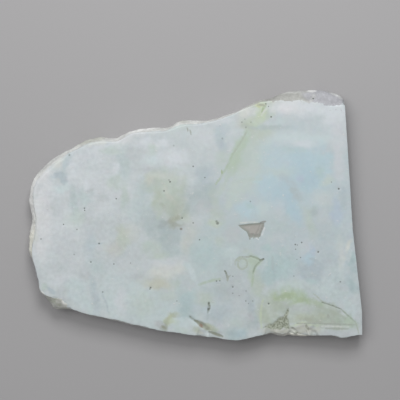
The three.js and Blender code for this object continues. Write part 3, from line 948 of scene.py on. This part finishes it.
# Dark specks in the face: per cents across and along, radius in millimetres and strength
SPECKS = [
    (56.5, 47.4, 0.38, 0.7), (56.2, 48.2, 0.3, 0.5), (45.9, 49.5, 0.2, 1.0), (45.5, 45.2, 0.3, 0.5),
    (92.7, 61.1, 0.24, 1.0), (86.7, 36.0, 0.24, 0.9), (72.4, 89.5, 0.2, 1.0),
    (18.5, 32.0, 0.2, 1.0), (61.1, 22.0, 0.2, 1.0), (61.1, 19.5, 0.16, 0.6),
    (61.1, 26.3, 0.16, 0.6), (71.9, 15.3, 0.24, 0.9), (36.4, 21.7, 0.24, 0.9),
    (36.2, 21.2, 0.2, 0.7), (16.7, 53.4, 0.2, 0.9), (16.75, 52.6, 0.18, 0.9),
    (10.4, 47.0, 0.16, 0.9), (14.4, 45.0, 0.18, 0.6), (26.2, 57.2, 0.17, 0.9),
    (21.0, 39.4, 0.22, 0.8), (25.4, 31.2, 0.17, 0.8), (42.3, 63.9, 0.22, 0.9),
    (40.5, 60.3, 0.2, 0.8), (42.0, 64.6, 0.18, 0.6), (49.2, 70.0, 0.2, 0.8),
    (52.7, 65.6, 0.18, 0.7), (49.2, 47.6, 0.2, 0.6), (51.1, 40.9, 0.18, 0.8),
    (12.3, 74.5, 0.24, 0.6), (3.6, 41.2, 0.18, 0.7), (22.0, 20.0, 0.2, 0.6),
    (44.3, 16.4, 0.15, 0.7), (65.0, 16.4, 0.18, 0.6), (65.8, 15.4, 0.15, 0.5),
    (67.1, 16.4, 0.16, 0.6), (65.1, 20.4, 0.2, 0.4), (63.0, 18.6, 0.14, 0.5),
    (79.8, 39.0, 0.2, 0.8), (81.7, 39.8, 0.2, 0.8), (80.4, 38.8, 0.14, 0.7),
    (79.9, 37.1, 0.16, 0.7), (81.4, 33.8, 0.18, 0.6), (80.3, 33.0, 0.14, 0.5),
    (90.5, 63.8, 0.16, 0.6), (66.3, 56.1, 0.2, 0.5), (93.4, 24.1, 0.22, 0.6),
    (79.4, 26.4, 0.2, 0.4), (57.9, 81.0, 0.24, 0.4), (63.7, 87.4, 0.2, 0.5),
    (64.6, 88.6, 0.16, 0.4), (66.4, 87.4, 0.18, 0.4), (64.9, 85.4, 0.22, 0.4),
    (70.8, 94.6, 0.18, 0.8), (71.6, 93.6, 0.16, 0.7), (56.2, 24.4, 0.2, 0.7),
    (57.2, 24.5, 0.18, 0.7), (53.9, 15.5, 0.26, 0.7), (53.8, 13.2, 0.3, 0.7),
    (70.2, 33.3, 0.2, 0.7), (13.5, 35.0, 0.2, 0.4), (43.4, 78.2, 0.24, 0.3),
    (30.4, 31.6, 0.16, 0.5),
]

# Rust and dirt in the cracks, as stains
RUST = [
    ("bark", 51.8, 6.9, 1.2, 0.75, -38, 0.5),
    ("rust", 51.7, 6.4, 0.6, 0.4, -40, 0.5),
    ("bark", 50.6, 7.9, 0.8, 0.3, -45, 0.5),
    ("bark", 53.4, 5.6, 0.8, 0.5, -30, 0.6),
    ("bark", 56.2, 2.8, 1.6, 0.35, -22, 0.5),
    ("bark", 40.3, 5.9, 0.7, 0.35, -35, 0.6),
    ("rust", 45.7, 45.2, 0.3, 0.3, 0, 0.5, 0.4),
]

# The crust of the broken rim as stains, round from the left
CRUST = [
    ("crust violet", 2.2, 28, 1.4, 3.6, 12, 0.5),
    ("crust cream", 0, 44, 1.6, 7.0, 0, 0.5, 1.0),
    ("crust white", 0.6, 57, 1.6, 7.0, 0, 0.5, 1.0),
    ("crust pink", 6.6, 76, 3.0, 1.4, 42, 0.5, 0.7),
    ("crust olive", 19.4, 81.4, 6.6, 1.2, 16, 0.5),
    ("crust cream", 12, 79.4, 2.0, 0.5, 25, 0.5, 0.7),
    ("crust white", 25.8, 81.4, 1.4, 1.0, 0, 0.5, 0.4),
    ("crust white", 34, 86, 6.4, 1.4, 14, 0.4),
    ("crust olive", 46, 89, 1.8, 1.0, 0, 0.6),
    ("crust white", 54, 90, 5.0, 1.4, 20, 0.4, 0.2),
    ("crust olive", 66.6, 96.4, 2.8, 1.6, 25, 0.5),
    ("crust grey", 77, 98.6, 8.0, 4.4, 6, 0.3, 1.0),
    ("crust violet", 91, 97.4, 7.0, 5.0, -10, 0.3, 1.0),
    ("crust white", 84.5, 99.9, 1.3, 0.5, 0, 0.5),
    ("crust", 78.6, 99.2, 4.0, 0.4, 4, 0.6, 0.5),
    ("crust", 91.6, 98.6, 3.4, 0.6, -26, 0.5, 0.7),
    ("pitch", 84.9, 96.7, 0.26, 0.22, 0, 0.3, 1.0),
    ("crust olive", 68, 3, 4.0, 1.6, 0, 0.5),
    ("crust olive", 92, 2, 5.0, 1.2, 0, 0.5),
    ("crust cream", 80, 3.4, 6.0, 1.6, 0, 0.5),
    ("crust grey", 58, 1, 3.2, 1.2, -6, 0.5),
    ("crust olive", 8.0, 15.6, 3.0, 2.0, -30, 0.5, 1.0),
    ("crust grey", 8.2, 14.8, 1.8, 1.0, -20, 0.6, 0.9),
    ("khaki", 7.2, 15.9, 0.8, 0.35, -30, 0.7, 0.6),
    ("khaki", 7.7, 17.2, 0.5, 0.3, 0, 0.7, 0.6),
    ("bark", 8.7, 14.8, 0.6, 0.35, 0, 0.7, 0.7),
    ("crust white", 10.3, 16, 0.6, 0.5, -50, 0.7, 0.6),
]


# Node trees


def node(tree, kind, inputs, output=0, **settings):
    """Adds a shader node and gives one of its outputs.

    Its inputs are given by place or by name: a socket is wired, and anything else is set.
    """
    made = tree.nodes.new("ShaderNode" + kind)
    for name, value in settings.items():
        setattr(made, name, value)
    for key, value in inputs.items() if isinstance(inputs, dict) else enumerate(inputs):
        if isinstance(value, bpy.types.NodeSocket):
            tree.links.new(value, made.inputs[key])
        else:
            made.inputs[key].default_value = value
    return made.outputs[output]


def maths(tree, operation, *values):
    """One operation on numbers."""
    return node(tree, "Math", values, operation=operation)


def vectors(tree, operation, *values, output=0):
    """One operation on vectors: a vector, or a number as output 1."""
    return node(tree, "VectorMath", values, output, operation=operation)


def scaled(tree, vector, factor):
    """A vector or a colour times a number."""
    return node(tree, "VectorMath", {0: vector, 3: factor}, operation="SCALE")


def squares(tree, one, other):
    """The sum of the squares of two numbers."""
    return maths(tree, "MULTIPLY_ADD", one, one, maths(tree, "MULTIPLY", other, other))


def over(tree, below, above, share, **settings):
    """One colour laid over another by a share."""
    return node(tree, "Mix", {0: share, 6: below, 7: above}, 2, data_type="RGBA", **settings)


def fade(tree, value, start, end, first=0.0, last=1.0):
    """First up to start, last from end on, and a smooth curve between."""
    given = (value, start, end, first, last)
    return node(tree, "MapRange", given, interpolation_type="SMOOTHSTEP", clamp=False)


def noise(tree, place, size, detail=2.0, output=0):
    """Blender's noise with lumps of a size in millimetres: a number, or a colour as output 1."""
    given = {"Vector": place, "Scale": 1 / size, "Detail": detail}
    return node(tree, "TexNoise", given, output)


def wobble(tree, place, size, detail):
    """Noise in every direction, from about -0.5 to 0.5."""
    return vectors(tree, "SUBTRACT", noise(tree, place, size, detail, output=1), (0.5, 0.5, 0.5))


def attribute(tree, name):
    """One of the stone's marks, as a number."""
    return node(tree, "Attribute", {}, 2, attribute_name=name)


def new_group(name, inputs, outputs):
    """A node group with named sockets, as (tree, what it is given, what it puts out)."""
    tree = bpy.data.node_groups.new(name, "ShaderNodeTree")
    for way, sockets in (("INPUT", inputs), ("OUTPUT", outputs)):
        for socket, kind in sockets.items():
            tree.interface.new_socket(socket, in_out=way, socket_type="NodeSocket" + kind)
    given = tree.nodes.new("NodeGroupInput").outputs
    return tree, given, tree.nodes.new("NodeGroupOutput").inputs


def new_material(name):
    """A material, as (material, its node tree, its shader)."""
    material = bpy.data.materials.new(name)
    material.use_nodes = True
    return material, material.node_tree, material.node_tree.nodes["Principled BSDF"]


def paint(name):
    """A paint as a shader's colour: c / 12.92 up to 0.04045, else ((c + 0.055) / 1.055) ^ 2.4."""
    shares = np.array(PAINTS[name]) / 255
    return (*np.where(shares <= 0.04045, shares / 12.92, ((shares + 0.055) / 1.055) ** 2.4), 1)


def stain_group():
    """A turned oval with a soft edge: its strength inside and 0 outside.

    Across and Along are the oval's two directions, each divided by its half size, so that the
    place's share along each of them is a dot product. The number of radii is the length of the two
    shares plus the cloud, which frays the edge. The edge runs from 1 - softness to 1 + softness
    radii.
    """
    inputs = {"Place": "Vector", "Middle": "Vector", "Across": "Vector", "Along": "Vector"}
    inputs |= {"Softness": "Float", "Strength": "Float", "Cloud": "Float"}
    tree, given, put = new_group("stain", inputs, {"Mask": "Float"})
    away = vectors(tree, "SUBTRACT", given["Place"], given["Middle"])
    across = vectors(tree, "DOT_PRODUCT", away, given["Across"], output=1)
    along = vectors(tree, "DOT_PRODUCT", away, given["Along"], output=1)
    square = squares(tree, along, across)
    start = maths(tree, "SUBTRACT", 1, given["Softness"])
    end = maths(tree, "ADD", 1, given["Softness"])
    radii = maths(tree, "ADD", maths(tree, "SQRT", square), given["Cloud"])
    tree.links.new(fade(tree, radii, start, end, given["Strength"], 0), put["Mask"])
    return tree


def oval(place, cloud, across, along, half_width, half_depth, turn, softness, strength=0.88):
    """What a stain group is given for one oval: its middle, directions over half sizes, edge."""
    ahead, left = directions(math.radians(turn))
    return {
        "Place": place,
        "Middle": (*at(across, along), 0),
        "Across": (*ahead / half_width, 0),
        "Along": (*left / half_depth, 0),
        "Softness": softness,
        "Strength": strength,
        "Cloud": cloud,
    }


def region_group(name, stain, rows):
    """One region's stains, each laid over the colour that it is given."""
    inputs = {"Place": "Vector", "Cloud": "Float", "Colour": "Color"}
    tree, given, put = new_group(name, inputs, {"Colour": "Color"})
    ground = given["Colour"]
    for name_of_paint, *shape in rows:
        mask = node(tree, "Group", oval(given["Place"], given["Cloud"], *shape), node_tree=stain)
        ground = over(tree, ground, paint(name_of_paint), mask)
    tree.links.new(ground, put["Colour"])
    return tree


def vein_group():
    """A line along an arc: 1 within its half width, 0 past its blur, half as wide at its ends.

    Forward is the direction from the centre to the arc's middle, and Left is square to it. The
    nearest point of the arc is at the place's own angle about the centre, kept within the half
    angle.
    """
    inputs = {"Place": "Vector", "Centre": "Vector", "Forward": "Vector", "Left": "Vector"}
    inputs |= {"Radius": "Float", "Half angle": "Float", "Half width": "Float", "Blur": "Float"}
    tree, given, put = new_group("vein", inputs, {"Mask": "Float"})
    away = vectors(tree, "SUBTRACT", given["Place"], given["Centre"])
    forward = vectors(tree, "DOT_PRODUCT", away, given["Forward"], output=1)
    left = vectors(tree, "DOT_PRODUCT", away, given["Left"], output=1)
    angle = maths(tree, "ARCTAN2", left, forward)
    angle = maths(tree, "MAXIMUM", angle, maths(tree, "MULTIPLY", given["Half angle"], -1))
    angle = maths(tree, "MINIMUM", angle, given["Half angle"])
    behind = maths(tree, "MULTIPLY", given["Radius"], maths(tree, "COSINE", angle))
    behind = maths(tree, "SUBTRACT", forward, behind)
    beside = maths(tree, "MULTIPLY", given["Radius"], maths(tree, "SINE", angle))
    beside = maths(tree, "SUBTRACT", left, beside)
    square = squares(tree, beside, behind)
    end = maths(tree, "DIVIDE", angle, given["Half angle"])
    taper = maths(tree, "MULTIPLY_ADD", maths(tree, "MULTIPLY", end, end), -0.5, 1)
    width = maths(tree, "MULTIPLY", given["Half width"], taper)
    blurred = maths(tree, "ADD", width, given["Blur"])
    mask = fade(tree, maths(tree, "SQRT", square), width, blurred, 1, 0)
    tree.links.new(mask, put["Mask"])
    return tree


def speck_group():
    """A dark grain: its strength within half its radius and 0 past 1.5 radii.

    It puts out the mask before it where that is larger.
    """
    inputs = {"Place": "Vector", "Middle": "Vector"}
    inputs |= {"Radius": "Float", "Strength": "Float", "Before": "Float"}
    tree, given, put = new_group("speck", inputs, {"Mask": "Float"})
    distance = vectors(tree, "DISTANCE", given["Place"], given["Middle"], output=1)
    radii = maths(tree, "DIVIDE", distance, given["Radius"])
    mask = fade(tree, radii, 1.5, 0.5, 0, given["Strength"])
    mask = maths(tree, "MAXIMUM", mask, given["Before"])
    tree.links.new(mask, put["Mask"])
    return tree


def mottle_group():
    """The stone's own unevenness: the colour x (1 + strength x clouds), with a breath of tint.

    The clouds are 1.2 x broad noise + fine noise, less their mean of 1.1.
    """
    inputs = {"Place": "Vector", "Colour": "Color", "Strength": "Float"}
    tree, given, put = new_group("mottle", inputs, {"Colour": "Color"})
    broad = noise(tree, given["Place"], 6, 6)
    fine = noise(tree, given["Place"], 1.0, 3)
    clouds = maths(tree, "MULTIPLY_ADD", broad, 1.2, fine)
    light = maths(tree, "SUBTRACT", clouds, 1.1)
    light = maths(tree, "MULTIPLY_ADD", light, given["Strength"], 1)
    mixed = scaled(tree, given["Colour"], light)
    tints = noise(tree, given["Place"], 1.6, 4, output=1)
    mixed = over(tree, mixed, tints, 0.016, blend_type="LINEAR_LIGHT")
    tree.links.new(mixed, put["Colour"])
    return tree


LEAN = (0.5, -0.35, 0)  # how far the stains move over with each millimetre of depth
BEND = (3.2, 3.2, 0)  # how far broad noise bends the stains, in millimetres
RAGGED = (0.9, 0.9, 0)  # how far fine noise moves their edges
TREMBLING = (0.25, 0.25, 0)  # how far the same fine noise moves the veins and the rust
CLOUD = 1.4  # how much the stains' edges are frayed, in radii

# Strength of the stone's unevenness, and how much weaker it is in two ovals, given as stains
UNEVENNESS = 0.27
BLUE_CALM, BLUE_OVAL = 0.17, (80, 66, 20, 20, 0, 0.5, 1)
MIDDLE_CALM, MIDDLE_OVAL = 0.1, (50, 50, 18, 40, 0, 0.5, 1)

# Painted shade: the crust is darkened in the rim's hollows and the face's chips, by their depth, as
# well as in random dull patches
DULL_AND_SHADED, PALEST = 0.86, 1.14  # brightness of the crust in its hollows and in its flecks
FACE_ROUGHNESS = (0.42, 0.58)
FACE_RELIEF = 0.008  # height of the finest bumps in millimetres
SKIN_ROUGHNESS, SKIN_RELIEF = 0.25, 0.08  # how much more both are on the crust and rough patch


def add_stains(tree, ground, place, cloud, stain, regions):
    """Lays each region's stains over the colour."""
    for name, rows in regions.items():
        inputs = {"Place": place, "Cloud": cloud, "Colour": ground}
        ground = node(tree, "Group", inputs, node_tree=region_group(name, stain, rows))
    return ground


def add_veins(tree, ground, body, breaks):
    """Draws the fine lines over the colour, each fainter where the breaks are low."""
    vein = vein_group()
    for name, start, end, bulge, half_width, blur, strength in VEINS:
        centre, turn, radius, half_angle = arc(at(*start), at(*end), bulge)
        forward, left = directions(turn)
        inputs = {
            "Place": body,
            "Centre": (*centre, 0),
            "Forward": (*forward, 0),
            "Left": (*left, 0),
            "Radius": radius,
            "Half angle": half_angle,
            "Half width": half_width,
            "Blur": blur,
        }
        mask = maths(tree, "MULTIPLY", node(tree, "Group", inputs, node_tree=vein), breaks)
        ground = over(tree, ground, paint(name), maths(tree, "MULTIPLY", mask, strength))
    return ground


def add_specks(tree, ground, place):
    """Darkens the colour at every speck."""
    speck = speck_group()
    mask = 0.0
    for across, along, radius, strength in SPECKS:
        inputs = {
            "Place": place,
            "Middle": (*at(across, along), FACE),
            "Radius": radius,
            "Strength": strength,
            "Before": mask,
        }
        mask = node(tree, "Group", inputs, node_tree=speck)
    return over(tree, ground, paint("pitch"), mask)


def larimar():
    """The stone: stains, veins and specks in the body, a paler rind and a grey crystal."""
    material, tree, shader = new_material("larimar")

    place = scaled(tree, node(tree, "TexCoord", {}, 3), 1 / MM)
    depth = maths(tree, "SUBTRACT", FACE, node(tree, "SeparateXYZ", (place,), 2))
    flat = vectors(tree, "MULTIPLY", place, (1, 1, 0))
    body = vectors(tree, "ADD", flat, scaled(tree, LEAN, depth))
    bent = vectors(tree, "MULTIPLY_ADD", wobble(tree, place, 5, 3), BEND, body)
    ragged = wobble(tree, place, 0.9, 2)
    bent = vectors(tree, "MULTIPLY_ADD", ragged, RAGGED, bent)

    cloud = maths(tree, "MULTIPLY_ADD", noise(tree, place, 2.2, 4), CLOUD, -CLOUD / 2)
    stain = stain_group()
    ground = add_stains(tree, paint("lavender"), bent, cloud, stain, STAINS)
    blue = node(tree, "Group", oval(body, cloud, *BLUE_OVAL), node_tree=stain)
    middle = node(tree, "Group", oval(body, cloud, *MIDDLE_OVAL), node_tree=stain)
    strength = maths(tree, "MULTIPLY_ADD", middle, -MIDDLE_CALM, UNEVENNESS)
    strength = maths(tree, "MULTIPLY_ADD", blue, -BLUE_CALM, strength)
    inputs = {"Place": place, "Colour": ground, "Strength": strength}
    ground = node(tree, "Group", inputs, node_tree=mottle_group())

    # The worn crystal: beige grey, greener and darker along its edges
    worn = attribute(tree, "crystal")
    edge = fade(tree, worn, 0.1, 0.9, 1, 0)
    grey = over(tree, paint("crystal"), paint("crystal edge"), edge)
    ground = over(tree, ground, grey, fade(tree, worn, -0.05, 0.1))

    trembling = vectors(tree, "MULTIPLY_ADD", ragged, TREMBLING, body)
    breaks = fade(tree, noise(tree, place, 0.8, 2), 0.3, 0.6, 0.45, 1)
    ground = add_veins(tree, ground, trembling, breaks)
    ground = add_specks(tree, ground, place)
    ground = add_stains(tree, ground, trembling, 0.0, stain, {"rust": RUST})

    # The rough patch is darker and greener between its grains
    rough = attribute(tree, "rough")
    grains = fade(tree, noise(tree, place, 0.45, 2), 0.35, 0.65)
    ground = over(tree, ground, over(tree, paint("grit"), paint("grit light"), grains), rough)

    # The rind: patches of crust with painted shade in its hollows, darker in random patches too,
    # with pale flecks and a frayed edge
    rind = attribute(tree, "rind")
    hollow = attribute(tree, "hollow")
    crust = add_stains(tree, paint("crust"), flat, cloud, stain, {"crust": CRUST})
    # Painted shade: the deeper a hollow or chip, the darker the crust; the noise adds dull patches
    # of the crust's own
    patches = maths(tree, "MULTIPLY_ADD", hollow, 0.5, noise(tree, place, 1.3, 4))
    shade_and_dull_patches = fade(tree, patches, 0.5, 0.8, 1, DULL_AND_SHADED)
    flecks = fade(tree, noise(tree, place, 0.5, 2), 0.5, 0.7, 1, PALEST)
    crust = scaled(tree, crust, maths(tree, "MULTIPLY", shade_and_dull_patches, flecks))
    fringe = maths(tree, "MULTIPLY_ADD", noise(tree, place, 0.8, 3), 1.2, rind)
    rind = fade(tree, fringe, 0.78, 1.0)
    ground = over(tree, ground, crust, rind)

    tree.links.new(ground, shader.inputs["Base Color"])
    skin = maths(tree, "MAXIMUM", rind, rough)
    polish = fade(tree, noise(tree, place, 1.5, 3), 0.3, 0.7, *FACE_ROUGHNESS)
    roughness = maths(tree, "MULTIPLY_ADD", skin, SKIN_ROUGHNESS, polish)
    tree.links.new(roughness, shader.inputs["Roughness"])

    relief = maths(tree, "MULTIPLY_ADD", skin, SKIN_RELIEF, FACE_RELIEF)
    height = maths(tree, "MULTIPLY", noise(tree, place, 0.25, 3), relief)
    bump = node(tree, "Bump", {"Height": height, "Distance": MM, "Strength": 1.0})
    tree.links.new(bump, shader.inputs["Normal"])
    return material


stone = make_piece("larimar_stone", *stone_mesh(), larimar())
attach(stone, "root")
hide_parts("larimar_slab")


# The floor, the light and the camera

FLOOR_REACH = 2.0  # how far the floor runs to each side
FLOOR_GREY = (0.36, 0.355, 0.36, 1)
TILT = math.radians(5)  # how far the camera leans over from straight above
AIM = (0.00122, 0.00437)  # where on the face the camera looks, just past the slab's middle
DISTANCE = 0.38  # how far the camera is from there
SPAN = 0.1032  # width of what the camera sees at the face


def make_floor():
    """A plain pale floor."""
    material, _, shader = new_material("floor")
    shader.inputs["Base Color"].default_value = FLOOR_GREY
    shader.inputs["Roughness"].default_value = 0.9
    mesh = bpy.data.meshes.new("floor")
    signs = ((-1, -1), (1, -1), (1, 1), (-1, 1))
    corners = [(x * FLOOR_REACH, y * FLOOR_REACH, 0) for x, y in signs]
    mesh.from_pydata(corners, [], [(0, 1, 2, 3)])
    mesh.materials.append(material)
    floor = add_object("floor", mesh)


def make_camera():
    """The camera leans over the far side by TILT and looks back at AIM from DISTANCE."""
    target = np.array([*AIM, FACE * MM])
    data = bpy.data.cameras.new("camera")
    data.lens = data.sensor_width * DISTANCE / SPAN
    camera = add_object("camera", data)
    camera.location = target + DISTANCE * np.array([0, math.sin(TILT), math.cos(TILT)])
    camera.rotation_euler = (-TILT, 0, 0)
    bpy.context.scene.camera = camera


def make_lamp(name, place, size, power):
    """A square soft lamp at a place, turned to the origin."""
    data = bpy.data.lights.new(name, "AREA")
    data.size = size
    data.energy = power
    lamp = add_object(name, data)
    lamp.location = place
    lamp.rotation_euler = (-Vector(place)).to_track_quat("-Z", "Y").to_euler()


def make_sky(strength):
    """An even white sky."""
    world = bpy.data.worlds.new("sky")
    world.use_nodes = True
    background = world.node_tree.nodes["Background"]
    background.inputs["Color"].default_value = (1, 1, 1, 1)
    background.inputs["Strength"].default_value = strength
    bpy.context.scene.world = world


make_floor()
make_camera()
make_lamp("key", (-0.50, 0.42, 1.24), 0.80, 7.25)
make_lamp("top", (0.02, 0.22, 0.26), 0.14, 0.62)
make_sky(0.3)
bpy.context.scene.view_settings.view_transform = "Standard"
